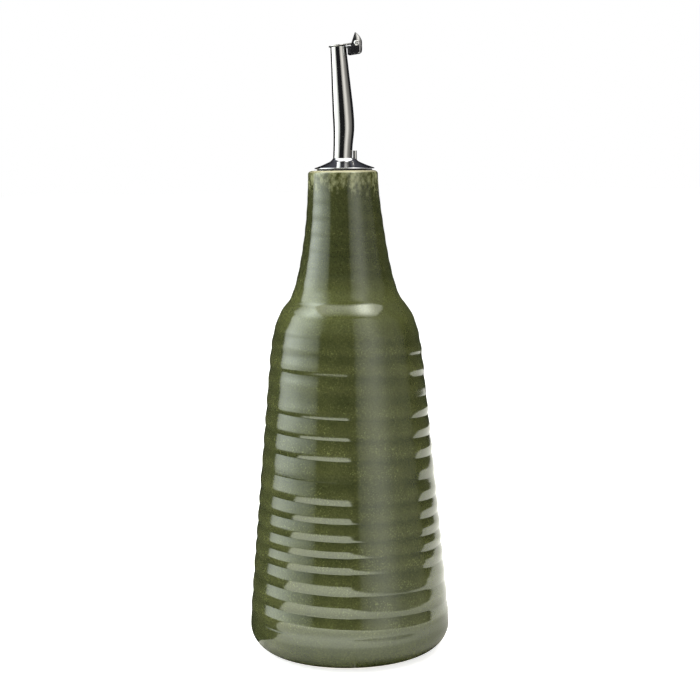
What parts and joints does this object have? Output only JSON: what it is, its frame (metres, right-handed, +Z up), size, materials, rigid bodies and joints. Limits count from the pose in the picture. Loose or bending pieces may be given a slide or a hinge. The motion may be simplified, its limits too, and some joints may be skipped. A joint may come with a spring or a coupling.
{
  "type": "oil bottle",
  "caption": "Tapered hand-thrown stoneware oil bottle with a green glaze and a steel pourer spout closed by a hinged flap.",
  "frame": {"origin": "centre of the flat base, on the bottle's axis", "axes": "+Z up along the bottle's axis; the spout leans towards -X and its flap is hinged on the +X side; the front seen in the picture is -Y"},
  "size_m": [0.0936, 0.0936, 0.2867],
  "materials": {
    "glazed_stoneware": "glossy mottled green glaze over buff stoneware, thin and cream coloured at the rim",
    "black_rubber": "satin black rubber",
    "polished_steel": "polished stamped stainless steel",
    "spout_steel": "polished drawn stainless steel tube with a fine lengthwise grain",
    "vent_steel": "polished stainless steel tube",
    "bracket_steel": "folded stainless steel sheet",
    "pin_steel": "bright steel rivet",
    "flap_steel": "polished stainless steel sheet"
  },
  "bodies": {
    "bottle_and_pourer": {"bottle": "glazed_stoneware", "stopper": "black_rubber", "pourer_flange": "polished_steel", "spout_tube": "spout_steel", "air_vent": "vent_steel", "hinge_bracket": "bracket_steel", "hinge_pin": "pin_steel"},
    "flap": {"flap_lid": "flap_steel"}
  },
  "joints": [
    {"name": "flap_hinge", "type": "hinge", "parent": "bottle_and_pourer", "child": "flap", "pos_m": [0.00715, 0, 0.28185], "axis": [0, 1, 0], "range_deg": [0, 70]}
  ]
}
